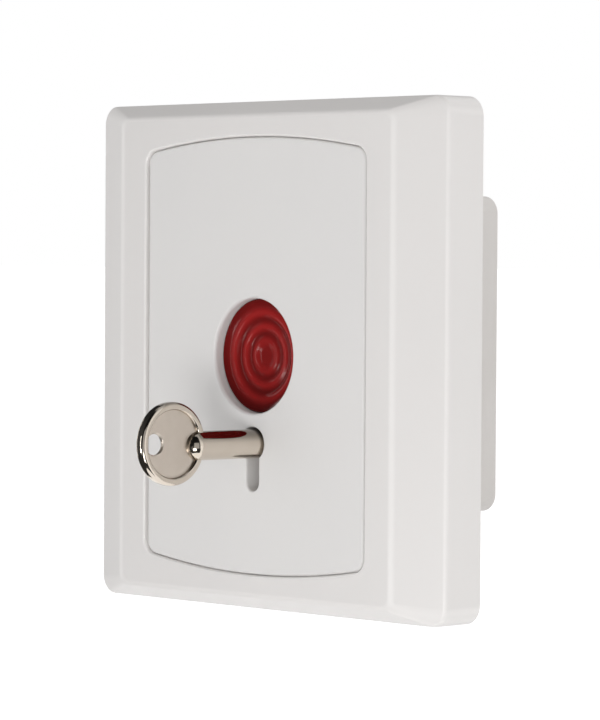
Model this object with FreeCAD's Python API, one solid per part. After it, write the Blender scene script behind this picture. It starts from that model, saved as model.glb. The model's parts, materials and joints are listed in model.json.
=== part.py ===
import FreeCAD, Part
import math
import os

os.makedirs("parts", exist_ok=True)
V = FreeCAD.Vector

# Wall-mounted panic button with key reset. Front towards -Y, wall plane y = 0, +Z up,
# origin at the centre of the wall plane. All lengths in mm.

# Clip-on front frame
frame_size = 86.0
frame_depth = 11.45
bevel_drop = 3.65           # depth of the bevel, from the front face to the upright side
bevel_run_x = 9.16          # bevel of the left and right borders, seen from the front
bevel_run_z = 3.13          # bevel of the top and bottom borders
frame_corner_r = 4.0
frame_wall = 1.8
front_wall = 2.0
hook_x = 22.0
hook_width = 8.0
hook_reach = 0.9
hook_height = 0.8
hook_gap = 0.2
pry_width = 8.0
pry_height = 1.2

# Inner panel, arched at top and bottom
panel_recess = 1.0
border_x = 7.04             # flat border of the frame, from the bevel to the panel's side
border_z = 3.12             # the same above the panel's highest point
panel_arch_r = 158.0
panel_corner_r = 2.3
panel_gap = 0.4
panel_thick = 2.2
plinth_inset = 1.6          # the wall behind the panel stands this far inside its corners
plinth_wall = 2.0
boss_gap = 0.2

# Base plate
plate_flange = 3.0
flange_gap = 0.3

# Wall screws
wall_screw_spacing = 60.3
wall_slot_r = 2.1
wall_slot_length = 5.2

# Rear housing
housing_half = 25.0
housing_top = 27.2
housing_bottom = -26.3
housing_depth = 23.4
housing_wall = 1.8
housing_corner_r = 3.0
housing_chamfer = 1.4
post_half = 3.0
post_floor = 7.0            # thickness that the screw clamps
post_pocket = 2.4           # half width of the screw's pocket in its post
window_margin = 0.4
wire_space = 10.0           # window height above the contact block, for the wires

# Push button
button_r = 9.5
button_gap = 0.2
rim_depth = 0.6             # rim of the button, below the panel
dish = 1.3                  # centre of the face, below its flat rim
ring_radii = (2.7, 4.9, 7.25)
ring_height = 0.4
ring_start = 0.6            # foot of the first ring, as a share of its radius
button_wall = 1.6
skirt_wall = 1.5
lug_reach = 1.1
lug_height = 1.2
lug_half = 2.0
stop_gap = 0.1
boss_wall = 1.2
boss_length = 1.95
socket_depth = 1.8
travel = 3.0
collar_wall = 2.0
collar_sides = 16

# Stem and its latch groove
stem_r = 3.5
stem_fit = 0.06
nose_r = 1.7
groove_depth = 1.2
latch_margin = 0.1

# Mechanism plate, latch and cover, stacked behind the inner panel
plate_thick = 2.0
plate_half = 16.5
plate_top = 19.0
plate_bottom = -17.0
lobe_wall = 1.0             # plate beside the lock's drum
guide_rise = 1.4
guide_wall = 1.4
guide_gap = 0.3
slide_front = 3.8
slide_gap = 0.1
slide_thick = 1.1
slide_half = 7.0
slide_top = 8.6
slide_bottom = -8.4
rail_gap = 0.15
rail_width = 1.4
rail_top = 8.0
cover_thick = 1.6
catch_gap = 0.2
follower_half = 1.6
latch_post_half = 0.45
latch_post = 2.0
latch_spring_r = 1.1
latch_wire = 0.35
latch_coils = 5
seat_z = 17.2               # seat of the latch spring
seat_thick = 1.4
seat_slot_half = 1.6

# Tubular key
key_z = -14.8
shank_r = 2.45
key_tip = 2.3
key_bore_r = 1.4
key_bore_depth = 8.3
bit_reach = 7.3
bit_width = 2.4
bit_rear = 2.2
bit_length = 1.9
shank_out = 13.4            # shank beyond the panel, up to its domed end
bow_out = 18.9
bow_rise = 0.5
bow_r = 6.95
rim_width = 1.4             # rim of the bow, radially
rim_thick = 2.0
web_thick = 1.2
bow_hole_r = 1.75
bow_hole_out = 22.05

# Keyhole and the guide behind it, which ends at the lock's drum
keyhole_gap = 0.3
slot_gap = 0.35
slot_end_gap = 0.7
guide_wall_key = 1.0        # wall of the guide, outside the keyhole

# Lock rotor
rotor_front = 0.1
rotor_wall = 0.85
rotor_fit = 0.05
rotor_rear = 3.4
bit_gap = 0.12
recess_floor = 2.7
cam_low_r = 4.9
cam_lift = 1.5
cam_turn = 90.0
cam_step = 15
cam_gap = 0.12
journal_r = 3.0
journal_out = 0.3
pin_r = 1.3
pin_front = -4.5

# Contact block
lid_front = 9.0
lid_thick = 1.2
block_half = 15.0
block_height = 7.0          # half height
block_gap = 0.2             # to the housing's rear wall
chamber_half = 8.0
chamber_height = 5.4        # half height
chamber_floor = 1.0
chamber_wall = 1.2
bay_rim = 1.4
barrier_half = 0.5
clip_half = 3.0             # half of the clip's height
clip_thick = 1.3
clip_gap = 0.1
clip_bite = 0.8
clip_barb = 1.2             # barb's length front to back
clip_back = 14.8
spacer_x = 12.6
spacer_z = 5.2
spacer_half = 1.2
plunger_r = 2.0
plunger_fit = 0.05
touch_gap = 0.1
carrier_half = 2.5
carrier_front = 10.4
carrier_rear = 14.6
carrier_seat = 0.6
bridge_front = 12.4
bridge_thick = 0.6
bridge_half = 7.2
bridge_width = 1.6          # half width
tip_x = 6.2
tip_half = 0.9
tip_height = 0.5
strip_thick = 0.8
strip_fit = 0.05
strip_inner = 4.8
strip_cross = 1.4           # how far a contact arm passes the middle
strip_low = 1.0
strip_high = 5.0
arm_end = 7.6
leg_x = 10.0
pad_end = 14.6
clamp_half = 1.8
clamp_thick = 0.6
terminal_x = 12.5
terminal_z = 3.2
plunger_spring_r = 1.4
plunger_wire = 0.3
plunger_coils = 4

# Fasteners: shank radius, head radius, head height, shank length
mech_screw = (1.1, 2.1, 1.6, 11.0)
housing_screw = (1.45, 2.2, 2.0, 12.5)
terminal_screw = (1.0, 1.75, 1.4, 5.0)
screw_gap = 0.03
screw_slot = 0.5
slot_share = 0.55           # share of the head's height that its slot takes
drill_end = 0.5             # hole beyond the screw's point
mech_x = 13.2
mech_high = 14.5
mech_low = -14.0
mech_boss_half = 2.6

# Return spring of the button
button_spring_r = 5.5
button_wire = 0.7
button_coils = 4

# Springs: sides of the wire's section, straight runs per coil of a large and a small spring
wire_sides = 4
large_steps = 10
small_steps = 6

# A cut or a join runs this far past the face that it crosses
past = 1.0
overlap = 0.5

# Derived planes and radii
frame_side = frame_depth - bevel_drop
frame_inner = frame_size / 2 - frame_wall
flange_half = frame_inner - flange_gap
panel_half = frame_size / 2 - bevel_run_x - border_x
panel_apex = frame_size / 2 - bevel_run_z - border_z
panel_side = panel_apex - panel_arch_r + math.sqrt(panel_arch_r ** 2 - panel_half ** 2)
panel_front = -(frame_depth - panel_recess)
panel_back = panel_front + panel_thick
bore_r = button_r + button_gap
rim_front = panel_front + rim_depth
cap_inner = rim_front + dish + button_wall
dish_r = (ring_radii[-1] + button_r) / 2
lug_rear = -travel - button_gap
lug_front = lug_rear - lug_height
collar_end = lug_front - stop_gap
boss_end = cap_inner + boss_length
pad_top = slide_front - slide_gap
slide_rear = slide_front + slide_thick
cover_front = slide_rear + slide_gap
cover_rear = cover_front + cover_thick
shoulder = lid_front - travel - 2 * touch_gap
plunger_front = lid_front - 3 * touch_gap
nose_end = plunger_front - touch_gap
drum_r = bit_reach + bit_gap + rotor_wall
lobe_half = drum_r + lobe_wall
hole_r = shank_r + keyhole_gap
slot_half = bit_width / 2 + slot_gap
slot_reach = bit_reach + slot_end_gap
nc_rear = bridge_front - tip_height - touch_gap
no_front = bridge_front + bridge_thick + tip_height + travel + touch_gap
block_front = lid_front + lid_thick
block_back = housing_depth - housing_wall - block_gap
chamber_back = block_back - chamber_floor
clamp_front = no_front + strip_thick
clamp_rear = clamp_front + clamp_thick
inner_half = housing_half - housing_wall
inner_top = housing_top - housing_wall
inner_bottom = housing_bottom + housing_wall
plinth_half = panel_half - plinth_inset
plinth_high = panel_side - plinth_inset
post_x = inner_half - boss_gap - post_half
post_high = inner_top - boss_gap - post_half
post_low = inner_bottom + boss_gap + post_half
window_low = -block_height - window_margin
window_high = block_height + wire_space

# The housing's two screws stand on one diagonal and the mechanism's two on the other
post_points = [(post_x, post_high), (-post_x, post_low)]
mech_points = [(-mech_x, mech_high), (mech_x, mech_low)]
terminal_points = [(s * terminal_x, z) for s in (-1, 1) for z in (-terminal_z, terminal_z)]


def box(x0, x1, y0, y1, z0, z1):
    return Part.makeBox(x1 - x0, y1 - y0, z1 - z0, V(x0, y0, z0))


def block(x, z, half, y0, y1):
    """A square block about (x, z)."""
    return box(x - half, x + half, y0, y1, z - half, z + half)


def sided(s, x0, x1, y0, y1, z0, z1):
    """A box given for the right side, or its mirror on the left when s is -1."""
    a, b = sorted((s * x0, s * x1))
    return box(a, b, y0, y1, z0, z1)


def rod(r, y0, y1, x=0.0, z=0.0):
    return Part.makeCylinder(r, y1 - y0, V(x, y0, z), V(0, 1, 0))


def outline(points, along):
    """A flat outline of corner points, extruded."""
    return Part.Face(Part.makePolygon(points + points[:1])).extrude(along)


def turned(points, z=0.0):
    """A profile of (radius, y) pairs, turned about the Y axis at height z."""
    wire = Part.makePolygon([V(r, y, z) for r, y in points + points[:1]])
    return Part.Face(wire).revolve(V(0, 0, z), V(0, 1, 0), 360)


def upright_edges(shape):
    """The straight edges that run front to back."""
    lines = [e for e in shape.Edges if isinstance(e.Curve, Part.Line)]
    return [e for e in lines if abs(e.tangentAt(e.FirstParameter).y) > 0.999]


def edges_at(shape, y):
    """The edges that lie in the plane at y."""
    found = []
    for e in shape.Edges:
        b = e.BoundBox
        if abs(b.YMin - y) < 1e-4 and abs(b.YMax - y) < 1e-4:
            found.append(e)
    return found


def rounded_box(x0, x1, y0, y1, z0, z1, r):
    body = box(x0, x1, y0, y1, z0, z1)
    return body.makeFillet(r, upright_edges(body))


def slot(x, z, r, length, y0, y1):
    """A round-ended slot along X."""
    reach = length / 2 - r
    ends = [rod(r, y0, y1, x + s * reach, z) for s in (-1, 1)]
    return box(x - reach, x + reach, y0, y1, z - r, z + r).fuse(ends)


def mirrored(shape):
    return shape.mirror(V(0, 0, 0), V(1, 0, 0))


def one(shape):
    """A clean single solid."""
    return shape.removeSplitter().Solids[0]


def arched(inset, y0, y1):
    """The panel's outline, straight at the sides and arched at top and bottom."""
    half = panel_half - inset
    apex = panel_apex - inset
    radius = panel_arch_r - inset
    side = apex - radius + math.sqrt(radius ** 2 - half ** 2)
    top = Part.Arc(V(-half, y0, side), V(0, y0, apex), V(half, y0, side)).toShape()
    right = Part.makeLine(V(half, y0, side), V(half, y0, -side))
    bottom = Part.Arc(V(half, y0, -side), V(0, y0, -apex), V(-half, y0, -side)).toShape()
    left = Part.makeLine(V(-half, y0, -side), V(-half, y0, side))
    body = Part.Face(Part.Wire([top, right, bottom, left])).extrude(V(0, y1 - y0, 0))
    return body.makeFillet(max(panel_corner_r - inset, overlap), upright_edges(body))


def bevelled(half, corner, depth, sides):
    """A block with upright sides and a bevelled front; the bevels meet in mitres.

    sides holds, for left and right and then for top and bottom, the depth of the upright side
    and the bevel's slope.
    """
    body = rounded_box(-half, half, -depth, 0, -half, half, corner)
    cuts = []
    for (side, slope), angle in zip(sides, (0, 90)):
        front = -depth - past
        run = slope * (-front - side)
        points = [(half, -side), (half + past, -side), (half + past, front), (half - run, front)]
        cut = outline([V(x, y, -frame_size) for x, y in points], V(0, 0, 2 * frame_size))
        for turn in (angle, angle + 180):
            other = cut.copy()
            other.rotate(V(0, 0, 0), V(0, 1, 0), turn)
            cuts.append(other)
    return body.cut(cuts)


def coil_spring(radius, wire, length, coils, origin, axis, steps):
    """A compression spring from origin along axis, its wire bent in short straight runs."""
    rise = (length - wire) / coils / steps
    path = []
    for i in range(int(coils * steps) + 1):
        a = 2 * math.pi * i / steps
        path.append(V(radius * math.cos(a), radius * math.sin(a), wire / 2 + rise * i))
    section = []
    for i in range(wire_sides):
        a = 2 * math.pi * i / wire_sides
        section.append(V(radius + wire / 2 * math.cos(a), 0, wire / 2 * (1 + math.sin(a))))
    section = Part.makePolygon(section + section[:1])
    # solid, with mitred corners
    pipe = Part.makePolygon(path).makePipeShell([section], True, False, 1)
    turn = FreeCAD.Rotation(V(0, 0, 1), axis)
    pipe.Placement = FreeCAD.Placement(origin, turn).multiply(pipe.Placement)
    return pipe


def prism(sides, r, y0, y1, x=0.0, z=0.0):
    """A bar of regular section with its corners at radius r, two of them level with its middle."""
    corners = []
    for i in range(sides):
        a = 2 * math.pi / sides * i
        corners.append(V(x + r * math.cos(a), y0, z + r * math.sin(a)))
    return outline(corners, V(0, y1 - y0, 0))


def screw(size, x, z, seat):
    """A slotted hexagon screw driven from behind, with its head's seat at y = seat."""
    shank, head, height, length = size
    body = prism(6, head, seat, seat + height, x, z).fuse(prism(6, shank, seat - length, seat, x, z))
    cut = box(x - head, x + head, seat + height * (1 - slot_share), seat + height + past,
              z - screw_slot / 2, z + screw_slot / 2)
    return one(body.cut(cut))


def screws(size, points, seat):
    return Part.makeCompound([screw(size, x, z, seat) for x, z in points])


def screw_hole(size, x, z, y0, y1):
    return rod(size[0] + screw_gap, y0, y1, x, z)


def core_hole(size, x, z, seat, mouth):
    """A hexagonal core for a thread-forming screw whose head sits at y = seat."""
    return prism(6, size[0] + screw_gap, seat - size[3] - drill_end, mouth, x, z)


def fork_slot(s, x, z, y0, y1):
    """A slot for a terminal screw, open away from the middle when s is 1, or towards it."""
    half = terminal_screw[0] + screw_gap
    inner, outer = (-half, 2 * clamp_half) if s * x > 0 else (-2 * clamp_half, half)
    return box(x + inner, x + outer, y0, y1, z - half, z + half)


def front_frame():
    slope_x = bevel_run_x / bevel_drop
    slope_z = bevel_run_z / bevel_drop
    body = bevelled(frame_size / 2, frame_corner_r, frame_depth,
                    ((frame_side, slope_x), (frame_side, slope_z)))
    # the cavity follows the bevels at one wall's distance
    inner = []
    for slope in (slope_x, slope_z):
        inner.append((frame_side - frame_wall * (math.hypot(1, slope) - 1) / slope, slope))
    body = body.cut(bevelled(frame_inner, frame_corner_r - frame_wall,
                             frame_depth - front_wall, inner))
    body = body.cut(arched(-panel_gap, -frame_depth - past, 0))
    reach = frame_inner - hook_reach
    root = frame_inner + hook_gap
    tip = -hook_gap
    wedge = [(reach, tip - hook_height), (reach, tip - hook_height / 2), (root, tip),
             (root, tip - hook_height)]
    for s in (-1, 1):
        for x in (-hook_x, hook_x):
            corners = [V(x - hook_width / 2, y, s * z) for z, y in wedge]
            body = body.fuse(outline(corners, V(hook_width, 0, 0)))
    half = frame_size / 2
    pry = box(-pry_width / 2, pry_width / 2, -pry_height, past, -half - past, -frame_inner + overlap)
    return one(body.cut(pry))


def keyhole(y0, y1):
    """Round hole with a round-ended slot below it."""
    centre = key_z - slot_reach + slot_half
    cut = rod(hole_r, y0, y1, 0, key_z)
    cut = cut.fuse(box(-slot_half, slot_half, y0, y1, centre, key_z))
    return cut.fuse(rod(slot_half, y0, y1, 0, centre))


def inner_panel():
    """Arched panel on a plinth wall, with the button's collar, the key guide and four bosses."""
    root = panel_back - overlap
    body = arched(0, panel_front, panel_back)
    inner_x = plinth_half - plinth_wall
    inner_z = plinth_high - plinth_wall
    wall = box(-plinth_half, plinth_half, root, -plate_flange, -plinth_high, plinth_high)
    body = body.fuse(wall.cut(box(-inner_x, inner_x, panel_back, past, -inner_z, inner_z)))
    body = body.fuse([block(x, z, mech_boss_half, root, 0) for x, z in mech_points])
    body = body.fuse([block(x, z, post_half, root, 0) for x, z in post_points])
    side = hole_r + guide_wall_key
    guide = box(-side, side, root, 0, key_z - slot_reach - guide_wall_key, key_z + side)
    body = body.fuse([prism(collar_sides, bore_r + collar_wall, root, collar_end), guide])
    cuts = [rod(bore_r, panel_front - past, collar_end + past), keyhole(panel_front - past, past)]
    cuts += [core_hole(mech_screw, x, z, cover_rear, past) for x, z in mech_points]
    cuts += [core_hole(housing_screw, x, z, post_floor, past) for x, z in post_points]
    return one(body.cut(cuts))


def base_plate():
    """Flat plate under the frame, held by the wall screws and clamped behind the panel."""
    body = rounded_box(-flange_half, flange_half, -plate_flange, 0, -flange_half, flange_half,
                       frame_corner_r - frame_wall)
    cuts = [box(-inner_half, inner_half, -plate_flange - past, past, inner_bottom, inner_top)]
    cuts += [slot(s * wall_screw_spacing / 2, 0, wall_slot_r, wall_slot_length,
                  -plate_flange - past, past) for s in (-1, 1)]
    width = hook_width / 2 + flange_gap
    notch = 2 * hook_gap + hook_height
    edge = frame_inner - hook_reach - flange_gap
    for s in (-1, 1):
        z0, z1 = sorted((s * edge, s * (flange_half + past)))
        cuts += [box(x - width, x + width, -notch, past, z0, z1) for x in (-hook_x, hook_x)]
    return one(body.cut(cuts))


def rear_housing():
    """Box behind the wall plane, with two screw posts and a window for the contact block."""
    body = rounded_box(-housing_half, housing_half, 0, housing_depth,
                       housing_bottom, housing_top, housing_corner_r)
    body = body.makeChamfer(housing_chamfer, edges_at(body, housing_depth))
    floor = housing_depth - housing_wall
    body = body.cut(box(-inner_half, inner_half, -past, floor, inner_bottom, inner_top))
    for x, z in post_points:
        grow = boss_gap + overlap
        # the post's outer sides run into the walls
        x0, x1 = sorted((x - math.copysign(post_half, x), x + math.copysign(post_half + grow, x)))
        z0, z1 = sorted((z - math.copysign(post_half, z), z + math.copysign(post_half + grow, z)))
        body = body.fuse(box(x0, x1, 0, floor + overlap, z0, z1))
    cuts = []
    for x, z in post_points:
        cuts.append(block(x, z, post_pocket, post_floor, housing_depth + past))
        cuts.append(screw_hole(housing_screw, x, z, -past, housing_depth))
    half = block_half + window_margin
    cuts.append(box(-half, half, floor - past, housing_depth + past, window_low, window_high))
    return one(body.cut(cuts))


def dish_y(r):
    """Floor of the button's shallow dish at radius r."""
    return rim_front + dish * (1 - (r / dish_r) ** 3)


def push_button():
    """Red cap: a shallow dish with three rings, a skirt with stop lugs and the stem's boss."""
    valleys = [(a + b) / 2 for a, b in zip(ring_radii, ring_radii[1:])]
    # flat in the middle and along the rim
    face = [(0, rim_front + dish), (ring_radii[0] * ring_start, rim_front + dish)]
    for crest, valley in zip(ring_radii, valleys):
        face += [(crest, dish_y(crest) - ring_height), (valley, dish_y(valley))]
    face += [(ring_radii[-1], dish_y(ring_radii[-1]) - ring_height), (dish_r, rim_front),
             (button_r, rim_front)]
    skirt_r = button_r - skirt_wall
    socket_r = stem_r + stem_fit
    socket_end = boss_end - socket_depth - boss_gap
    boss_r = socket_r + boss_wall
    back = [(button_r, lug_rear), (skirt_r, lug_rear), (skirt_r, cap_inner), (boss_r, cap_inner),
            (boss_r, boss_end), (socket_r, boss_end), (socket_r, socket_end), (0, socket_end)]
    body = turned(face + back)
    reach = button_r + lug_reach
    root = button_r - skirt_wall / 2
    for s in (-1, 1):
        z0, z1 = sorted((s * root, s * reach))
        body = body.fuse([sided(s, root, reach, lug_front, lug_rear, -lug_half, lug_half),
                          box(-lug_half, lug_half, lug_front, lug_rear, z0, z1)])
    return one(body)


def button_stem():
    low = slide_front - travel - latch_margin
    high = slide_rear - travel + latch_margin
    neck = stem_r - groove_depth
    front = boss_end - socket_depth
    return turned([(0, front), (stem_r, front), (stem_r, low), (neck, low), (neck, high),
                   (stem_r, high), (stem_r, shoulder), (nose_r, shoulder), (nose_r, nose_end),
                   (0, nose_end)])


def plate_outline(y0, y1):
    """Outline of the mechanism plate and its cover, with a lobe about the lock."""
    body = box(-plate_half, plate_half, y0, y1, plate_bottom, plate_top)
    return body.fuse(box(-lobe_half, lobe_half, y0, y1, key_z - lobe_half, plate_bottom + past))


def mechanism_plate():
    body = plate_outline(0, plate_thick)
    guide = stem_r + stem_fit + guide_wall
    body = body.fuse(block(0, 0, guide, 0, plate_thick + guide_rise))
    rail_in = slide_half + rail_gap
    rail_out = rail_in + rail_width
    root = plate_thick - overlap
    pad_low = key_z + drum_r + guide_gap
    for s in (-1, 1):
        body = body.fuse([sided(s, rail_in, rail_out, root, cover_front, pad_low, rail_top),
                          sided(s, guide + guide_gap, rail_out, root, pad_top, pad_low, rail_top)])
    body = body.fuse([block(x, z, mech_boss_half, root, cover_front) for x, z in mech_points])
    body = body.fuse(box(-rail_in, rail_in, root, cover_front, seat_z, seat_z + seat_thick))
    cuts = [screw_hole(mech_screw, x, z, -past, cover_front + past) for x, z in mech_points]
    cuts.append(rod(stem_r + stem_fit, -past, cover_front))
    cuts.append(rod(drum_r + rotor_fit, -past, plate_thick + past, 0, key_z))
    return one(body.cut(cuts))


def latch_slide():
    """Steel latch: a window round the stem, a post for its spring and a rounded cam follower."""
    follower_z = key_z + cam_low_r + cam_gap + follower_half
    body = box(-slide_half, slide_half, slide_front, slide_rear, slide_bottom, slide_top)
    body = body.fuse(box(-latch_post_half, latch_post_half, slide_front, slide_rear,
                         slide_top - overlap, slide_top + latch_post))
    body = body.fuse([box(-follower_half, follower_half, slide_front, slide_rear,
                          follower_z, slide_bottom + overlap),
                      rod(follower_half, slide_front, slide_rear, 0, follower_z)])
    gap_r = stem_r + catch_gap
    window = rod(gap_r, slide_front - past, slide_rear + past)
    low = -gap_r - cam_lift
    window = window.fuse(box(-gap_r, gap_r, slide_front - past, slide_rear + past, low, 0))
    return one(body.cut(window))


def latch_cover():
    """Closes the latch and the lock; spacers and two clips behind it hold the contact block."""
    body = plate_outline(cover_front, cover_rear)
    root = cover_rear - overlap
    spots = [(s * spacer_x, z) for s in (-1, 1) for z in (-spacer_z, spacer_z)]
    body = body.fuse([block(x, z, spacer_half, root, lid_front) for x, z in spots])
    arm = block_half + clip_gap
    for s in (-1, 1):
        body = body.fuse([sided(s, arm, arm + clip_thick, root, clip_back, -clip_half, clip_half),
                          sided(s, arm - clip_bite, arm + clip_gap, clip_back - clip_barb, clip_back,
                                -clip_half, clip_half)])
    cuts = [screw_hole(mech_screw, x, z, cover_front - past, cover_rear + past)
            for x, z in mech_points]
    cuts.append(block(0, 0, stem_r + catch_gap, cover_front - past, lid_front))
    cuts.append(rod(journal_r + rotor_fit, cover_front - past, lid_front, 0, key_z))
    # clears the latch spring, which is wider than the latch is thick
    cuts.append(box(-seat_slot_half, seat_slot_half, cover_front - past, lid_front,
                    slide_top - guide_gap, seat_z + guide_gap))
    return one(body.cut(cuts))


def cam_outline():
    """Spiral cam: the radius under the follower grows evenly as the rotor turns."""
    points = []
    start = -cam_turn - cam_step
    for a in range(int(start), int(360 + start), cam_step):
        r = cam_low_r - cam_lift * min(a, cam_step) / cam_turn
        t = math.radians(a)
        points.append(V(r * math.sin(t), slide_front, key_z + r * math.cos(t)))
    return points


def lock_rotor():
    """Drum with a keyhole-shaped recess, the latch cam behind it and a journal."""
    body = rod(drum_r, rotor_front, rotor_rear, 0, key_z)
    # the cam turns in the plane of the latch
    cam = outline(cam_outline(), V(0, slide_thick, 0))
    journal = rod(journal_r, rotor_rear - overlap, cover_rear + journal_out, 0, key_z)
    body = body.fuse([cam, journal])
    half = bit_width / 2 + bit_gap
    reach = key_z - bit_reach - bit_gap
    recess = rod(shank_r + rotor_fit, rotor_front - past, recess_floor, 0, key_z)
    recess = recess.fuse(box(-half, half, rotor_front - past, recess_floor, reach, key_z))
    recess = recess.fuse(rod(pin_r, rotor_front, cover_rear + past, 0, key_z))
    return one(body.cut(recess))


def lock_pin():
    return rod(pin_r, pin_front, cover_rear, 0, key_z)


def key():
    """Nickel-plated cast key: hollow shank with a bit, domed end and a round rimmed bow."""
    out = panel_front - shank_out
    dome = []
    for a in (90, 45, 0):
        t = math.radians(a)
        dome.append((shank_r * math.cos(t), out - shank_r * math.sin(t)))
    shank = turned(dome + [(shank_r, key_tip), (0, key_tip)], key_z)
    bit = box(-bit_width / 2, bit_width / 2, bit_rear - bit_length, bit_rear,
              key_z - bit_reach, key_z)
    bow_y = panel_front - bow_out
    bow_z = key_z + bow_rise
    inner = bow_r - rim_width
    half = rim_thick / 2
    across = V(1, 0, 0)
    rim = Part.makeCylinder(bow_r, rim_thick, V(-half, bow_y, bow_z), across)
    rim = rim.cut(Part.makeCylinder(inner, 2 * rim_thick, V(-rim_thick, bow_y, bow_z), across))
    web = Part.makeCylinder(inner + overlap, web_thick, V(-web_thick / 2, bow_y, bow_z), across)
    hole_y = panel_front - bow_hole_out
    hole = Part.makeCylinder(bow_hole_r, 2 * web_thick, V(-web_thick, hole_y, bow_z), across)
    body = shank.fuse([bit, rim, web.cut(hole)])
    bore = rod(key_bore_r, key_tip - key_bore_depth, key_tip + past, 0, key_z)
    return one(body.cut(bore))


def contact_block():
    body = box(-block_half, block_half, block_front, block_back, -block_height, block_height)
    cuts = [box(-chamber_half, chamber_half, block_front - past, chamber_back,
                -chamber_height, chamber_height)]
    bay_in = chamber_half + chamber_wall
    bay_out = block_height - bay_rim
    front = block_front - past
    for s in (-1, 1):
        for z0, z1 in ((barrier_half, bay_out), (-bay_out, -barrier_half)):
            cuts.append(sided(s, bay_in, block_half + past, no_front, block_back + past, z0, z1))
        # passage of the rear contact arm, through the chamber wall
        cuts.append(sided(s, chamber_half - past, bay_in + past, no_front,
                          clamp_front + strip_fit, -strip_high - strip_fit, -strip_low + strip_fit))
        # channel and riser slot of the front contact
        leg_end = leg_x + strip_thick + strip_fit
        z0, z1 = strip_low - strip_fit, strip_high + strip_fit
        cuts.append(sided(s, chamber_half - past, leg_end, front, nc_rear, z0, z1))
        cuts.append(sided(s, leg_x - strip_fit, leg_end, front, no_front + past, z0, z1))
        # notch for the clip's barb
        cuts.append(sided(s, block_half - clip_bite, block_half + past,
                          clip_back - clip_barb - clip_gap, clip_back + clip_gap,
                          -clip_half - clip_gap, clip_half + clip_gap))
    cuts += [core_hole(terminal_screw, x, z, clamp_rear, no_front + past)
             for x, z in terminal_points]
    return one(body.cut(cuts))


def block_lid():
    body = box(-block_half, block_half, lid_front, block_front, -block_height, block_height)
    return body.cut(rod(plunger_r + plunger_fit, lid_front - past, block_front + past))


def switch_plunger():
    body = rod(plunger_r, plunger_front, carrier_front + overlap)
    body = body.fuse(block(0, 0, carrier_half, carrier_front, carrier_rear))
    slit = box(-carrier_half - past, carrier_half + past, bridge_front,
               bridge_front + bridge_thick, -bridge_width, bridge_width)
    seat = block(0, 0, plunger_spring_r + plunger_wire, carrier_rear - carrier_seat,
                 carrier_rear + past)
    return one(body.cut([slit, seat]))


def contact_bridge():
    body = box(-bridge_half, bridge_half, bridge_front, bridge_front + bridge_thick,
               -bridge_width, bridge_width)
    rear = bridge_front + bridge_thick + tip_height
    tips = [block(s * tip_x, 0, tip_half, bridge_front - tip_height, rear) for s in (-1, 1)]
    return one(body.fuse(tips))


def nc_contact():
    """Normally closed contact, right side: arm in front of the bridge, riser and forked pad."""
    front = nc_rear - strip_thick
    leg_end = leg_x + strip_thick
    body = box(strip_inner, arm_end, front, nc_rear, -strip_cross, strip_high)
    body = body.fuse([box(arm_end - overlap, leg_end, front, nc_rear, strip_low, strip_high),
                      box(leg_x, leg_end, front, clamp_front, strip_low, strip_high),
                      box(leg_x, pad_end, no_front, clamp_front, strip_low, strip_high)])
    return one(body.cut(fork_slot(1, terminal_x, terminal_z, no_front - past, clamp_rear)))


def no_contact():
    """Normally open contact, right side: flat strip behind the bridge with its forked pad."""
    body = box(strip_inner, arm_end, no_front, clamp_front, -strip_high, strip_cross)
    body = body.fuse(box(arm_end - overlap, pad_end, no_front, clamp_front, -strip_high, -strip_low))
    return one(body.cut(fork_slot(1, terminal_x, -terminal_z, no_front - past, clamp_rear)))


def terminal_clamps():
    """Square clamp plates, slotted from the middle of the block."""
    clamps = []
    for x, z in terminal_points:
        plate = block(x, z, clamp_half, clamp_front, clamp_rear)
        clamps.append(plate.cut(fork_slot(-1, x, z, clamp_front - past, clamp_rear + past)))
    return Part.makeCompound(clamps)


def save(name, shape):
    for solid in shape.Solids:
        if not solid.isValid() or solid.Volume <= 0:
            print("check", name, solid.isValid(), solid.Volume)
    print(name, len(shape.Solids), round(shape.Volume, 2))
    shape.exportStep("parts/" + name + ".step")


right_nc = nc_contact()
right_no = no_contact()
spring_y = V(0, 1, 0)

save("front_frame", front_frame())
save("inner_panel", inner_panel())
save("base_plate", base_plate())
save("rear_housing", rear_housing())
save("push_button", push_button())
save("button_stem", button_stem())
save("button_spring", coil_spring(button_spring_r, button_wire, -cap_inner, button_coils,
                                  V(0, cap_inner, 0), spring_y, large_steps))
save("mechanism_plate", mechanism_plate())
save("latch_slide", latch_slide())
save("latch_spring", coil_spring(latch_spring_r, latch_wire, seat_z - slide_top, latch_coils,
                                 V(0, (slide_front + slide_rear) / 2, slide_top), V(0, 0, 1),
                                 small_steps))
save("latch_cover", latch_cover())
save("lock_rotor", lock_rotor())
save("lock_pin", lock_pin())
save("key", key())
save("contact_block", contact_block())
save("block_lid", block_lid())
save("switch_plunger", switch_plunger())
save("plunger_spring", coil_spring(plunger_spring_r, plunger_wire,
                                   chamber_back - carrier_rear + carrier_seat, plunger_coils,
                                   V(0, carrier_rear - carrier_seat, 0), spring_y, small_steps))
save("contact_bridge", contact_bridge())
save("nc_contact_right", right_nc)
save("nc_contact_left", mirrored(right_nc))
save("no_contact_right", right_no)
save("no_contact_left", mirrored(right_no))
save("terminal_clamps", terminal_clamps())
save("terminal_screws", screws(terminal_screw, terminal_points, clamp_rear))
save("mechanism_screws", screws(mech_screw, mech_points, cover_rear))
save("housing_screws", screws(housing_screw, post_points, post_floor))
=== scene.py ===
import json
import math

import bmesh
import bpy
from mathutils import Matrix, Vector


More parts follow.
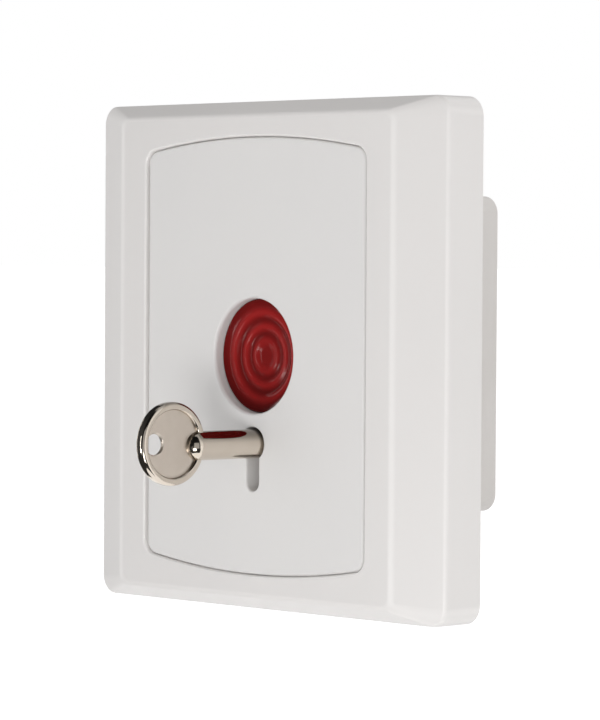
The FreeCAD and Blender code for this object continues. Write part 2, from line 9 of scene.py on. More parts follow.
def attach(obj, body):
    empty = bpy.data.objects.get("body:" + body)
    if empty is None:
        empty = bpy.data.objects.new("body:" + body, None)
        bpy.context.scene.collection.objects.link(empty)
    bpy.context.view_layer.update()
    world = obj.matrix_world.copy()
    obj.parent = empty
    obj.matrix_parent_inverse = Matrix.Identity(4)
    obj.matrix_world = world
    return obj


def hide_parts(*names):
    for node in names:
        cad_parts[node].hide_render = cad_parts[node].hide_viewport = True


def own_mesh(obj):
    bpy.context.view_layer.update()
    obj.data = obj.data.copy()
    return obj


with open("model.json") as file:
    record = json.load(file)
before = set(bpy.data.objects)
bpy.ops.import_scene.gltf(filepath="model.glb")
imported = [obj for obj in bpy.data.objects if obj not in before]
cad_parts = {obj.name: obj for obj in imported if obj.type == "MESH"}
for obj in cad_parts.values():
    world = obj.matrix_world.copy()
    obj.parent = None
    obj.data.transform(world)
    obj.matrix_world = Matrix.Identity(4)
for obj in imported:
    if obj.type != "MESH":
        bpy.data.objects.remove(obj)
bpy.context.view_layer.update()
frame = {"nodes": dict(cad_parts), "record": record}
mm = 0.001   # lengths in the dictionaries are in millimetres, apart from those of the studio
print("frame loaded:", len(frame["nodes"]), "nodes")


# colours and materials

def linear(hexColour):
    channels = [int(hexColour[i:i + 2], 16) / 255 for i in (1, 3, 5)]
    return [c / 12.92 if c <= 0.04045 else ((c + 0.055) / 1.055) ** 2.4 for c in channels] + [1.0]


def addNode(tree, kind, settings, links=None):
    # a setting is the node's own property where it has one by that name, or else a socket's value;
    # stops are a ramp's (place, grey value) pairs, joined by a smooth curve
    node = tree.nodes.new(kind)
    for key, value in settings.items():
        if key == "stops":
            node.color_ramp.interpolation = "B_SPLINE"
            points = node.color_ramp.elements
            while len(points) < len(value):
                points.new(1.0)
            for point, (place, grey) in zip(points, value):
                point.position = place
                point.color = (grey, grey, grey, 1)
        elif isinstance(key, str) and hasattr(node, key):
            setattr(node, key, value)
        else:
            node.inputs[key].default_value = value
    for key, source in (links or {}).items():
        tree.links.new(source, node.inputs[key])
    return node


def startMaterial(name, finish):
    material = bpy.data.materials.new(name)
    material.use_nodes = True
    shader = material.node_tree.nodes["Principled BSDF"]
    for socket, value in finish.items():
        shader.inputs[socket].default_value = value
    return material, material.node_tree, shader


def perMetre(sizeInMm):
    # scale of a pattern whose features are this many millimetres apart
    return 1 / (sizeInMm * mm)


def mouldedPlastic(name, look):
    # spark-eroded grain in the surface, and a slow drift of tone where the melt flowed; the real
    # grain is about 0.05 mm, too fine to show, so grainSize draws it as coarse as it needs to be;
    # gloss below 0.5 tones down the mirror images in a worn surface
    material, tree, shader = startMaterial(name, {
        "IOR": look["ior"], "Specular IOR Level": look.get("gloss", 0.5)})
    place = addNode(tree, "ShaderNodeTexCoord", {}).outputs["Object"]
    drift = addNode(tree, "ShaderNodeTexNoise",
                    {"Scale": perMetre(look["driftSize"]), "Detail": 2.0},
                    {"Vector": place}).outputs["Fac"]
    tone = addNode(tree, "ShaderNodeMix",
                   {"data_type": "RGBA", 6: linear(look["colour"]), 7: linear(look["shade"])},
                   {0: drift}).outputs[2]
    tree.links.new(tone, shader.inputs["Base Color"])
    grain = addNode(tree, "ShaderNodeTexNoise",
                    {"Scale": perMetre(look["grainSize"]), "Detail": 3.0, "Roughness": 0.6},
                    {"Vector": place}).outputs["Fac"]
    low, high = look["roughness"]
    rough = addNode(tree, "ShaderNodeMapRange", {"To Min": low, "To Max": high},
                    {"Value": grain}).outputs["Result"]
    tree.links.new(rough, shader.inputs["Roughness"])
    relief = addNode(tree, "ShaderNodeBump",
                     {"Strength": look["relief"], "Distance": look["grainDepth"] * mm},
                     {"Height": grain}).outputs["Normal"]
    tree.links.new(relief, shader.inputs["Normal"])
    return material


def colourOf(material):
    # the material's nodes, the shader's colour socket and what feeds it
    socket = material.node_tree.nodes["Principled BSDF"].inputs["Base Color"]
    return material.node_tree, socket, socket.links[0].from_socket


def paintButtonShade(material, shadeStops):
    # paints shade and light into the colour: multiplies it by two shares, one by the distance from
    # the Y axis and one by the height; stops are (millimetres, share)
    tree, colour, tone = colourOf(material)
    place = addNode(tree, "ShaderNodeTexCoord", {}).outputs["Object"]
    flat = addNode(tree, "ShaderNodeVectorMath", {"operation": "MULTIPLY", 1: (1, 0, 1)},
                   {0: place}).outputs["Vector"]
    away = addNode(tree, "ShaderNodeVectorMath", {"operation": "LENGTH"},
                   {0: flat}).outputs["Value"]
    height = addNode(tree, "ShaderNodeSeparateXYZ", {}, {0: place}).outputs["Z"]
    for source, stops in ((away, shadeStops["outward"]), (height, shadeStops["upward"])):
        first, last = stops[0][0], stops[-1][0]
        span = addNode(tree, "ShaderNodeMapRange", {"From Min": first * mm, "From Max": last * mm},
                       {"Value": source}).outputs["Result"]
        shares = [((at - first) / (last - first), share) for at, share in stops]
        depth = addNode(tree, "ShaderNodeValToRGB", {"stops": shares}, {"Fac": span})
        tone = addNode(tree, "ShaderNodeMix",
                       {"data_type": "RGBA", "blend_type": "MULTIPLY", 0: 1.0},
                       {6: tone, 7: depth.outputs["Color"]}).outputs[2]
    tree.links.new(tone, colour)


def paintEdgeHighlight(material, edge):
    # paints a highlight: mixes in a lighter tone where the surface turns between its flats; stops
    # are (share of the normal along X or Z, amount), and are 0 at the flats' own normals
    tree, colour, tone = colourOf(material)
    normal = addNode(tree, "ShaderNodeTexCoord", {}).outputs["Normal"]
    parts = addNode(tree, "ShaderNodeSeparateXYZ", {}, {0: normal})
    amounts = []
    for letter, stops in (("X", edge["across"]), ("Z", edge["upward"])):
        size = addNode(tree, "ShaderNodeMath", {"operation": "ABSOLUTE"},
                       {0: parts.outputs[letter]}).outputs[0]
        amounts.append(addNode(tree, "ShaderNodeValToRGB", {"stops": stops},
                               {"Fac": size}).outputs["Color"])
    most = addNode(tree, "ShaderNodeMath", {"operation": "MAXIMUM"},
                   {0: amounts[0], 1: amounts[1]}).outputs[0]
    lighter = addNode(tree, "ShaderNodeMix", {"data_type": "RGBA", 7: linear(edge["colour"])},
                      {0: most, 6: tone})
    tree.links.new(lighter.outputs[2], colour)


def paintUpperShade(material, stops):
    # paints shade into the colour: multiplies it by a share that goes with how far the surface
    # faces up;
    # stops are (share of the normal along Z, share of the colour)
    tree, colour, tone = colourOf(material)
    normal = addNode(tree, "ShaderNodeTexCoord", {}).outputs["Normal"]
    facing = addNode(tree, "ShaderNodeSeparateXYZ", {}, {0: normal}).outputs["Z"]
    depth = addNode(tree, "ShaderNodeValToRGB", {"stops": stops}, {"Fac": facing})
    darker = addNode(tree, "ShaderNodeMix", {"data_type": "RGBA", "blend_type": "MULTIPLY", 0: 1.0},
                     {6: tone, 7: depth.outputs["Color"]})
    tree.links.new(darker.outputs[2], colour)


def platedMetal(name, look):
    # metal with a slight cloudiness, and marks from handling or rolling; real ones are about
    # 0.02 mm wide, too fine to show, so markSize draws them coarser
    material, tree, shader = startMaterial(name, {"Metallic": 1.0})
    place = addNode(tree, "ShaderNodeTexCoord", {}).outputs["Object"]
    cloud = addNode(tree, "ShaderNodeTexNoise",
                    {"Scale": perMetre(look["cloudSize"]), "Detail": 3.0},
                    {"Vector": place}).outputs["Fac"]
    tone = addNode(tree, "ShaderNodeMix",
                   {"data_type": "RGBA", 6: linear(look["colour"]), 7: linear(look["shade"])},
                   {0: cloud}).outputs[2]
    tree.links.new(tone, shader.inputs["Base Color"])
    stretched = addNode(tree, "ShaderNodeMapping", {"Scale": look["markStretch"]},
                        {"Vector": place}).outputs["Vector"]
    marks = addNode(tree, "ShaderNodeTexNoise",
                    {"Scale": perMetre(look["markSize"]), "Detail": 2.0},
                    {"Vector": stretched}).outputs["Fac"]
    low, high = look["roughness"]
    rough = addNode(tree, "ShaderNodeMapRange", {"To Min": low, "To Max": high},
                    {"Value": marks}).outputs["Result"]
    tree.links.new(rough, shader.inputs["Roughness"])
    relief = addNode(tree, "ShaderNodeBump",
                     {"Strength": look["relief"], "Distance": look["markDepth"] * mm},
                     {"Height": marks}).outputs["Normal"]
    tree.links.new(relief, shader.inputs["Normal"])
    return material


# moulded ABS with a fine satin grain: a warm, even white that never looks wet
whiteAbsFrame = mouldedPlastic("whiteAbsFrame", {
    "colour": "#E4E1DF", "shade": "#E0DDDB", "ior": 1.54, "driftSize": 30.0,
    "grainSize": 0.6, "grainDepth": 0.03, "relief": 0.25, "roughness": (0.36, 0.44)})
# painted highlight: the rounded edges between the flats are drawn lighter, as if they caught the
# light
paintEdgeHighlight(whiteAbsFrame, {
    "colour": "#EAE7E5",
    "across": [(0.0, 0.0), (0.04, 0.1), (0.12, 0.9), (0.24, 0.9), (0.33, 0.1), (0.37, 0.0),
               (0.45, 0.1), (0.65, 1.0), (0.8, 1.0), (0.95, 0.1), (1.0, 0.0)],
    "upward": [(0.0, 0.0), (0.05, 0.1), (0.2, 0.9), (0.4, 0.7), (0.6, 0.2), (0.8, 0.0),
               (1.0, 0.0)]})
# the same moulding in the panel, a shade cooler
whiteAbsPanel = mouldedPlastic("whiteAbsPanel", {
    "colour": "#E2E0DE", "shade": "#DEDCDB", "ior": 1.54, "driftSize": 26.0,
    "grainSize": 0.6, "grainDepth": 0.03, "relief": 0.25, "roughness": (0.42, 0.52)})
# inner ABS mouldings, straight from a plain mould: smoother and a little duller
whiteAbsPlate = mouldedPlastic("whiteAbsPlate", {
    "colour": "#DEDBD8", "shade": "#D8D5D1", "ior": 1.54, "driftSize": 22.0,
    "grainSize": 0.9, "grainDepth": 0.02, "relief": 0.2, "roughness": (0.36, 0.46)})
# the housing's ABS has a coarser pebble that breaks up the light on its sides
whiteAbsHousing = mouldedPlastic("whiteAbsHousing", {
    "colour": "#DDD9D6", "shade": "#D4D0CC", "ior": 1.54, "driftSize": 14.0,
    "grainSize": 1.0, "grainDepth": 0.08, "relief": 0.5, "roughness": (0.45, 0.6)})
# dyed ABS from a polished mould: deep red, with soft narrow highlights along the rings
redAbs = mouldedPlastic("redAbs", {
    "colour": "#9E2423", "shade": "#962020", "ior": 1.54, "gloss": 0.12, "driftSize": 9.0,
    "grainSize": 0.8, "grainDepth": 0.002, "relief": 0.05, "roughness": (0.13, 0.17)})
# painted shade and light: the grooves, the outer zone and the lower part are drawn a deeper red, as
# shade would make them, and the crests lighter, as light would
paintButtonShade(redAbs, {
    "outward": [(0.0, 0.62), (1.4, 0.62), (2.0, 0.84), (2.9, 0.9), (3.5, 0.5), (3.9, 0.44),
                (4.3, 0.7), (4.7, 1.0), (5.3, 1.0), (5.8, 0.55), (6.2, 0.4), (6.6, 0.64),
                (7.0, 1.0), (7.7, 1.0), (8.2, 0.6), (8.8, 0.44), (9.7, 0.42)],
    "upward": [(-9.7, 0.45), (-6.0, 0.75), (-2.0, 0.95), (2.0, 1.0), (9.7, 1.0)]})
# natural acetal: milky, slightly waxy
naturalAcetal = mouldedPlastic("naturalAcetal", {
    "colour": "#EEECE2", "shade": "#E4E1D4", "ior": 1.48, "driftSize": 6.0,
    "grainSize": 0.5, "grainDepth": 0.01, "relief": 0.15, "roughness": (0.3, 0.4)})
# glass-filled nylon: mid grey with the fibres showing as fine mottling
greyNylon = mouldedPlastic("greyNylon", {
    "colour": "#7E8184", "shade": "#6E7174", "ior": 1.53, "driftSize": 1.5,
    "grainSize": 0.4, "grainDepth": 0.02, "relief": 0.35, "roughness": (0.45, 0.6)})
# phenolic moulding: near black, semi-gloss, with a brownish flow
blackPhenolic = mouldedPlastic("blackPhenolic", {
    "colour": "#1D1C1D", "shade": "#2A2624", "ior": 1.6, "driftSize": 5.0,
    "grainSize": 0.35, "grainDepth": 0.01, "relief": 0.3, "roughness": (0.32, 0.45)})
# bright nickel over polished zinc casting: warm mirror with faint handling marks
brightNickel = platedMetal("brightNickel", {
    "colour": "#DDD3C7", "shade": "#D5CABC", "cloudSize": 4.0, "markSize": 0.5,
    "markStretch": (1, 1, 1), "markDepth": 0.004, "relief": 0.1, "roughness": (0.07, 0.13)})
# painted shade: the sides of the plating that face up are drawn darker
paintUpperShade(brightNickel, [(0.0, 1.0), (0.25, 1.0), (0.5, 0.55), (0.7, 0.42), (1.0, 0.4)])
# the same plating over the casting's unpolished web: satin, so it reads as one soft tone
satinNickel = platedMetal("satinNickel", {
    "colour": "#D9CFC4", "shade": "#CFC4B8", "cloudSize": 1.8, "markSize": 0.35,
    "markStretch": (1, 1, 1), "markDepth": 0.01, "relief": 0.3, "roughness": (0.26, 0.38)})
# drawn spring wire: dark bright grey
springSteel = platedMetal("springSteel", {
    "colour": "#A9A7A3", "shade": "#94928F", "cloudSize": 1.0, "markSize": 0.15,
    "markStretch": (1, 1, 1), "markDepth": 0.004, "relief": 0.15, "roughness": (0.2, 0.32)})
# bright zinc plating: bluish silver with a fine crystal haze
zincPlate = platedMetal("zincPlate", {
    "colour": "#C3C7CC", "shade": "#AEB3BA", "cloudSize": 0.8, "markSize": 0.25,
    "markStretch": (1, 1, 1), "markDepth": 0.006, "relief": 0.2, "roughness": (0.22, 0.36)})
# stamped brass strip: yellow, with rolling lines along the strip
stampedBrass = platedMetal("stampedBrass", {
    "colour": "#C9A35A", "shade": "#B88F48", "cloudSize": 2.0, "markSize": 0.2,
    "markStretch": (0.15, 1, 1), "markDepth": 0.006, "relief": 0.2, "roughness": (0.2, 0.34)})

finishes = {
    "front_frame": whiteAbsFrame, "inner_panel": whiteAbsPanel, "base_plate": whiteAbsPlate,
    "rear_housing": whiteAbsHousing, "push_button": redAbs, "button_stem": naturalAcetal,
    "button_spring": springSteel, "mechanism_plate": greyNylon, "latch_slide": zincPlate,
    "latch_spring": springSteel, "latch_cover": greyNylon, "lock_rotor": naturalAcetal,
    "lock_pin": springSteel, "key": brightNickel, "contact_block": blackPhenolic,
    "block_lid": blackPhenolic, "switch_plunger": naturalAcetal, "plunger_spring": springSteel,
    "contact_bridge": stampedBrass, "nc_contact_right": stampedBrass,
    "nc_contact_left": stampedBrass, "no_contact_right": stampedBrass,
    "no_contact_left": stampedBrass, "terminal_clamps": zincPlate, "terminal_screws": zincPlate,
    "mechanism_screws": zincPlate, "housing_screws": zincPlate,
}
bodyNames = {}
for bodyName, members in frame["record"]["behaviour"]["bodies"].items():
    for member in members:
        bodyNames[member] = bodyName
print("materials ready:", len({*finishes.values(), satinNickel}))


# shared shapes, and the limits in degrees and millimetres that they work with
meshLimits = {
    "sharpAngle": 40, "weldDistance": 1e-4, "softWeldDistance": 2e-3, "flatAngle": 0.5,
    "edgeAngle": 30,
}


def softPath(corners, steps):
    # corners are (across, along, radius); one with a radius becomes an arc of steps pieces
    path = []
    for i, (across, along, radius) in enumerate(corners):
        here = Vector((across, along))
        if radius == 0:
            path.append(here)
            continue
        before = (Vector(corners[i - 1][:2]) - here).normalized()
        after = (Vector(corners[(i + 1) % len(corners)][:2]) - here).normalized()
        halfAngle = before.angle(after) / 2
        start = here + before * (radius / math.tan(halfAngle))
        end = here + after * (radius / math.tan(halfAngle))
        centre = here + (before + after).normalized() * (radius / math.sin(halfAngle))
        for k in range(steps + 1):
            path.append(centre + (start.lerp(end, k / steps) - centre).normalized() * radius)
    return path


def skin(shape, rings, closed):
    # faces between rings of points in millimetres; closed joins the last ring to the first
    made = [[shape.verts.new(Vector(point) * mm) for point in ring] for ring in rings]
    pairs = list(zip(made, made[1:]))
    if closed:
        pairs.append((made[-1], made[0]))
    for a, b in pairs:
        for i in range(len(a)):
            j = (i + 1) % len(a)
            shape.faces.new((a[i], a[j], b[j], b[i]))
    return made


def addPrism(shape, ends):
    # a closed prism between two outlines of points in millimetres
    near, far = [[shape.verts.new(Vector(point) * mm) for point in end] for end in ends]
    shape.faces.new(near)
    shape.faces.new(far)
    for i in range(len(near)):
        shape.faces.new((near[i], near[i - 1], far[i - 1], far[i]))


def turnedRings(path, origin, axis, steps):
    # rings of a lathe shape: path is (radius, along), along is measured on the axis letter
    rings = []
    for radius, along in path:
        ring = []
        for k in range(steps):
            angle = 2 * math.pi * k / steps
            u, v = radius * math.cos(angle), radius * math.sin(angle)
            if axis == "y":
                ring.append((origin[0] + u, along, origin[2] + v))
            else:
                ring.append((along, origin[1] + u, origin[2] + v))
        rings.append(ring)
    return rings


def finishMesh(shape, name, materials):
    bmesh.ops.remove_doubles(shape, verts=shape.verts, dist=meshLimits["weldDistance"] * mm)
    bmesh.ops.recalc_face_normals(shape, faces=shape.faces)
    mesh = bpy.data.meshes.new(name)
    shape.to_mesh(mesh)
    shape.free()
    for material in materials:
        mesh.materials.append(material)
    mesh.polygons.foreach_set("use_smooth", [True] * len(mesh.polygons))
    mesh.set_sharp_from_angle(angle=math.radians(meshLimits["sharpAngle"]))
    piece = bpy.data.objects.new(name, mesh)
    bpy.context.scene.collection.objects.link(piece)
    weighted = piece.modifiers.new("weighted", "WEIGHTED_NORMAL")
    weighted.keep_sharp = True
    return piece


def standFor(piece, *nodeNames):
    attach(piece, bodyNames[nodeNames[0]])
    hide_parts(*nodeNames)
    return piece


def applyModifiers(piece):
    graph = bpy.context.evaluated_depsgraph_get()
    mesh = bpy.data.meshes.new_from_object(piece.evaluated_get(graph))
    piece.modifiers.clear()
    piece.data = mesh


def softened(nodeName, rounds, fit=None):
    # the node's own solid with its outer edges rounded, as moulding or tumbling leaves them;
    # rounds holds (radius, steps, test), and an edge gets the first round whose test it passes
    shape = bmesh.new()
    shape.from_mesh(frame["nodes"][nodeName].data)
    bmesh.ops.remove_doubles(shape, verts=shape.verts, dist=meshLimits["softWeldDistance"] * mm)
    bmesh.ops.dissolve_limit(shape, angle_limit=math.radians(meshLimits["flatAngle"]),
                             verts=shape.verts, edges=shape.edges)
    edgeAngle = math.radians(meshLimits["edgeAngle"])
    for radius, steps, test in rounds:
        sharp = []
        for edge in shape.edges:
            if edge.is_manifold and edge.is_convex and edge.calc_face_angle() > edgeAngle:
                if all(test(v.co / mm) for v in edge.verts):
                    sharp.append(edge)
        bmesh.ops.bevel(shape, geom=sharp, offset=radius * mm, segments=steps, profile=0.5,
                        affect="EDGES", clamp_overlap=True)
    if fit:
        for v in shape.verts:
            v.co = fit(v.co / mm) * mm
    standFor(finishMesh(shape, nodeName + "_soft", [finishes[nodeName]]), nodeName)


# front frame

frameShape = {
    "half": 43.0, "depth": 11.45, "sideDepth": 7.8, "bevelRunX": 9.16, "bevelRunZ": 2.4,
    "backCorner": 3.4, "corner": 3.2, "faceCorner": 1.6, "sideRound": 1.0, "faceRoundX": 5.0,
    "faceRoundZ": 1.3, "windowX": 27.6, "windowZ": 37.07, "windowCorner": 2.8,
    "windowArch": 158.4, "windowRound": 0.4, "windowSlope": 0.45, "frontWall": 2.0,
    "inner": 41.2, "innerCorner": 2.2,
    "cavityX": 34.0, "cavityZ": 39.21, "cavitySideX": 6.58, "cavitySideZ": 7.134,
    "straight": 1e5,   # arch radius of an outline that is straight at top and bottom
    "roundSteps": 6, "sideSteps": 6, "cornerSteps": 10, "archSteps": 24,
    "hookAt": 22.0, "hookHalf": 4.0,
    "hookProfile": [(40.3, -1.0), (40.3, -0.6), (41.4, -0.2), (41.4, -1.0)],   # (height, y)
    "pryHalf": 4.0, "pryDepth": 1.2, "pryReach": 2.3,
}


def outlineRing(halfX, halfZ, corner, arch, yX, yZ):
    # a rounded outline, straight at the sides and arched at top and bottom; y goes over from
    # yX at the sides to yZ at top and bottom along the corners
    sideSteps, cornerSteps, archSteps = (
        frameShape[key] for key in ("sideSteps", "cornerSteps", "archSteps"))
    centreZ = halfZ - arch
    cornerX = halfX - corner
    cornerZ = centreZ + math.sqrt((arch - corner) ** 2 - cornerX ** 2)
    turn = math.atan2(cornerZ - centreZ, cornerX)
    quarter = [(halfX, yX, cornerZ * k / sideSteps) for k in range(sideSteps)]
    for k in range(cornerSteps + 1):
        angle = turn * k / cornerSteps
        share = k / cornerSteps
        quarter.append((cornerX + corner * math.cos(angle), yX + (yZ - yX) * share,
                        cornerZ + corner * math.sin(angle)))
    for k in range(1, archSteps + 1):
        angle = turn + (math.pi / 2 - turn) * k / archSteps
        quarter.append((arch * math.cos(angle), yZ, centreZ + arch * math.sin(angle)))
    upper = quarter + [(-x, y, z) for x, y, z in reversed(quarter[:-1])]
    return upper + [(x, y, -z) for x, y, z in reversed(upper[1:-1])]


def makeFrontFrame():
    f = frameShape
    faceX, faceZ = f["half"] - f["bevelRunX"], f["half"] - f["bevelRunZ"]
    under = f["depth"] - f["frontWall"]
    across = softPath([
        (f["half"], 0, 0), (f["half"], -f["sideDepth"], f["sideRound"]),
        (faceX, -f["depth"], f["faceRoundX"]), (f["windowX"], -f["depth"], f["windowRound"]),
        (f["windowX"] - f["windowSlope"], -under, 0), (f["cavityX"], -under, 0),
        (f["inner"], -f["cavitySideX"], 0),
        (f["inner"], 0, 0)], f["roundSteps"])
    up = softPath([
        (f["half"], 0, 0), (f["half"], -f["sideDepth"], f["sideRound"]),
        (faceZ, -f["depth"], f["faceRoundZ"]), (f["windowZ"], -f["depth"], f["windowRound"]),
        (f["windowZ"] - f["windowSlope"], -under, 0), (f["cavityZ"], -under, 0),
        (f["inner"], -f["cavitySideZ"], 0),
        (f["inner"], 0, 0)], f["roundSteps"])
    rounds = f["roundSteps"] + 1   # points in one rounded edge
    rings = []
    for i, (a, b) in enumerate(zip(across, up)):
        if i <= 2 * rounds:
            # the corner tightens from the side to the face, in step with the bevel
            share = min(1.0, (f["half"] - a.x) / f["bevelRunX"])
            corner = f["corner"] + (f["faceCorner"] - f["corner"]) * share
            if i == 0:
                corner = f["backCorner"]
            arch = f["straight"]
        elif i <= 3 * rounds + 1:
            # the window's edge and its sloping wall
            corner = f["windowCorner"] + a.x - f["windowX"]
            arch = f["windowArch"] + a.x - f["windowX"]
        else:
            # the hollow behind, which the base plate fills
            corner, arch = f["innerCorner"], f["straight"]
        rings.append(outlineRing(a.x, b.x, corner, arch, a.y, b.y))
    shape = bmesh.new()
    skin(shape, rings, True)
    piece = finishMesh(shape, "frameShell", [whiteAbsFrame])
    # slot for a screwdriver under the lower edge
    cutter = bmesh.new()
    bmesh.ops.create_cube(cutter, size=1.0, matrix=Matrix.Translation(
        Vector((0, 0, -f["half"])) * mm) @ Matrix.Diagonal(
        (2 * f["pryHalf"] * mm, 2 * f["pryDepth"] * mm, 2 * f["pryReach"] * mm, 1)))
    tool = finishMesh(cutter, "pryCutter", [whiteAbsFrame])
    cut = piece.modifiers.new("pry", "BOOLEAN")
    cut.operation, cut.object, cut.solver = "DIFFERENCE", tool, "EXACT"
    piece.modifiers.move(1, 0)   # the cut comes before the weighted normals
    applyModifiers(piece)
    bpy.data.objects.remove(tool)
    # four snap hooks inside the upper and lower walls
    hooks = bmesh.new()
    hooks.from_mesh(piece.data)
    for side in (-1, 1):
        for x in (-f["hookAt"], f["hookAt"]):
            addPrism(hooks, [[(x + end, y, side * z) for z, y in f["hookProfile"]]
                             for end in (-f["hookHalf"], f["hookHalf"])])
    bpy.data.objects.remove(piece)
    standFor(finishMesh(hooks, "frameShell", [whiteAbsFrame]), "front_frame")


makeFrontFrame()
print("front frame made")


# push button

buttonShape = {
    "radius": 9.66, "rimFront": -9.35, "dish": 1.2, "dishPower": 3, "sink": 0.25, "sinkPower": 8,
    "ringRadii": (2.7, 4.95, 7.25), "ringHeight": 0.36,
    "firstFoot": 0.45,   # foot of the first ring, as a share of its radius
    "rimRound": 0.35, "rimSteps": 9, "faceSteps": 150, "turnSteps": 160,
    "skirtFront": -6.0, "skirtInner": 8.0, "skirtEnd": -3.2, "skirtRound": 0.15,
    "lugReach": 10.6, "lugFront": -4.4, "lugHalf": 2.0, "lugRound": 0.15,
    "capInner": -6.95, "bossRadius": 4.76, "bossEnd": -5.0, "bossRound": 0.2,
    "socketRadius": 3.56, "socketEnd": -7.0, "socketRound": 0.1, "roundSteps": 3,
}


def makePushButton():
    b = buttonShape
    radii = b["ringRadii"]
    valleys = [radii[0] * b["firstFoot"]] + [(p + q) / 2 for p, q in zip(radii, radii[1:])]
    valleys.append(2 * radii[2] - valleys[2])
    face = []
    last = b["radius"] - b["rimRound"]
    for k in range(b["faceSteps"] + 1):
        r = last * k / b["faceSteps"]
        y = b["rimFront"] + b["dish"] * (1 - (r / last) ** b["dishPower"])
        y += b["sink"] * (1 - (r / last) ** b["sinkPower"])
        for i, crest in enumerate(radii):
            edge = valleys[i] if r < crest else valleys[i + 1]
            away = abs((r - crest) / (edge - crest))
            if away < 1:
                y -= b["ringHeight"] * 0.5 * (1 + math.cos(math.pi * away))
        face.append((r, y))
    # rounded outer rim, then the skirt and the boss inside
    for k in range(1, b["rimSteps"] + 1):
        angle = math.pi / 2 * k / b["rimSteps"]
        face.append((last + b["rimRound"] * math.sin(angle),
                     b["rimFront"] + b["rimRound"] * (1 - math.cos(angle))))
    back = softPath([
        (b["radius"], b["skirtFront"], 0), (b["radius"], b["skirtEnd"], b["skirtRound"]),
        (b["skirtInner"], b["skirtEnd"], b["skirtRound"]),
        (b["skirtInner"], b["capInner"], 0), (b["bossRadius"], b["capInner"], 0),
        (b["bossRadius"], b["bossEnd"], b["bossRound"]),
        (b["socketRadius"], b["bossEnd"], b["socketRound"]),
        (b["socketRadius"], b["socketEnd"], 0), (0, b["socketEnd"], 0)], b["roundSteps"])
    shape = bmesh.new()
    skin(shape, turnedRings(face + back, (0, 0, 0), "y", b["turnSteps"]), False)
    # four stop lugs round the end of the skirt
    root = (b["radius"] + b["skirtInner"]) / 2
    middle = (root + b["lugReach"]) / 2
    for x, z in ((1, 0), (-1, 0), (0, 1), (0, -1)):
        size = Vector((abs(x), 0, abs(z))) * (b["lugReach"] - root)
        size += Vector((abs(z), 0, abs(x))) * 2 * b["lugHalf"]
        size.y = b["skirtEnd"] - b["lugFront"]
        place = Vector((x * middle, (b["skirtEnd"] + b["lugFront"]) / 2, z * middle))
        made = bmesh.ops.create_cube(shape, size=1.0, matrix=Matrix.Translation(
            place * mm) @ Matrix.Diagonal((*size * mm, 1)))
        edges = {e for v in made["verts"] for e in v.link_edges}
        bmesh.ops.bevel(shape, geom=list(edges), offset=b["lugRound"] * mm, segments=2,
                        profile=0.5, affect="EDGES")
    standFor(finishMesh(shape, "ringedButton", [redAbs]), "push_button")


makePushButton()
print("push button made")


# key

keyShape = {
    "height": -14.8, "shankRadius": 2.45, "shankFront": -10.0, "domeCentre": -23.85,
    "domeSteps": 16, "tip": 2.3, "tipRound": 0.25,
    "boreRadius": 1.4, "boreEnd": -6.0, "boreRound": 0.1,
    "bowY": -29.35, "bowZ": -14.3, "bowRadius": 6.95, "rimWidth": 1.35, "rimHalf": 1.0,
    "rimRound": 0.66, "rimInnerShare": 0.6, "rimRoundSteps": 6, "bowSteps": 160,
    "webHalf": 0.4, "webTuck": 0.3,   # the web's edge goes this far into the rim
    "holeRadius": 1.75, "holeY": -33.1, "holeRound": 0.3,
    "bitHalf": 1.2, "bitReach": 7.3, "bitFront": 0.3, "bitRear": 2.2, "bitRound": 0.3,
    "roundSteps": 4, "turnSteps": 96,
}


def makeKey():
    k = keyShape
    shape = bmesh.new()
    # hollow shank with its round front end
    path = []
    for i in range(k["domeSteps"] + 1):
        angle = math.pi / 2 * i / k["domeSteps"]
        path.append((k["shankRadius"] * math.sin(angle),
                     k["domeCentre"] - k["shankRadius"] * math.cos(angle)))
    path += softPath([
        (k["shankRadius"], k["shankFront"], 0), (k["shankRadius"], k["tip"], k["tipRound"]),
        (k["boreRadius"], k["tip"], k["boreRound"]), (k["boreRadius"], k["boreEnd"], 0),
        (0, k["boreEnd"], 0)], k["roundSteps"])
    skin(shape, turnedRings(path, (0, 0, k["height"]), "y", k["turnSteps"]), False)
    # rim of the bow: a rounded square section bent into a ring about the X axis
    inner = k["bowRadius"] - k["rimWidth"]
    innerRound = k["rimRound"] * k["rimInnerShare"]
    section = softPath([
        (k["bowRadius"], k["rimHalf"], k["rimRound"]),
        (k["bowRadius"], -k["rimHalf"], k["rimRound"]),
        (inner, -k["rimHalf"], innerRound), (inner, k["rimHalf"], innerRound)],
        k["rimRoundSteps"])
    centre = (0, k["bowY"], k["bowZ"])
    skin(shape, turnedRings(section, centre, "x", k["bowSteps"]), True)
    # web inside the rim, with the hole for a ring
    polished = len(shape.faces)
    webRadius = inner + k["webTuck"]
    edge = softPath([
        (webRadius, k["webHalf"], 0), (k["holeRadius"], k["webHalf"], k["holeRound"]),
        (k["holeRadius"], -k["webHalf"], k["holeRound"]), (webRadius, -k["webHalf"], 0)],
        k["roundSteps"])
    rings = []
    for radius, along in edge:
        share = 0 if radius > inner else 1
        middle = (0, k["bowY"] + (k["holeY"] - k["bowY"]) * share, k["bowZ"])
        rings += turnedRings([(radius, along)], middle, "x", k["turnSteps"])
    skin(shape, rings, True)
    shape.faces.ensure_lookup_table()
    for face in shape.faces[polished:]:
        face.material_index = 1   # the satin one of the key's two finishes
    # bit at the rear end of the shank
    bit = softPath([
        (k["bitFront"], -k["bitReach"], k["bitRound"]),
        (k["bitRear"], -k["bitReach"], k["bitRound"]),
        (k["bitRear"], 0, 0), (k["bitFront"], 0, 0)], k["roundSteps"])
    addPrism(shape, [[(x, y, k["height"] + z) for y, z in bit]
                     for x in (-k["bitHalf"], k["bitHalf"])])
    standFor(finishMesh(shape, "tubularKey", [brightNickel, satinNickel]), "key")


makeKey()
print("key made")


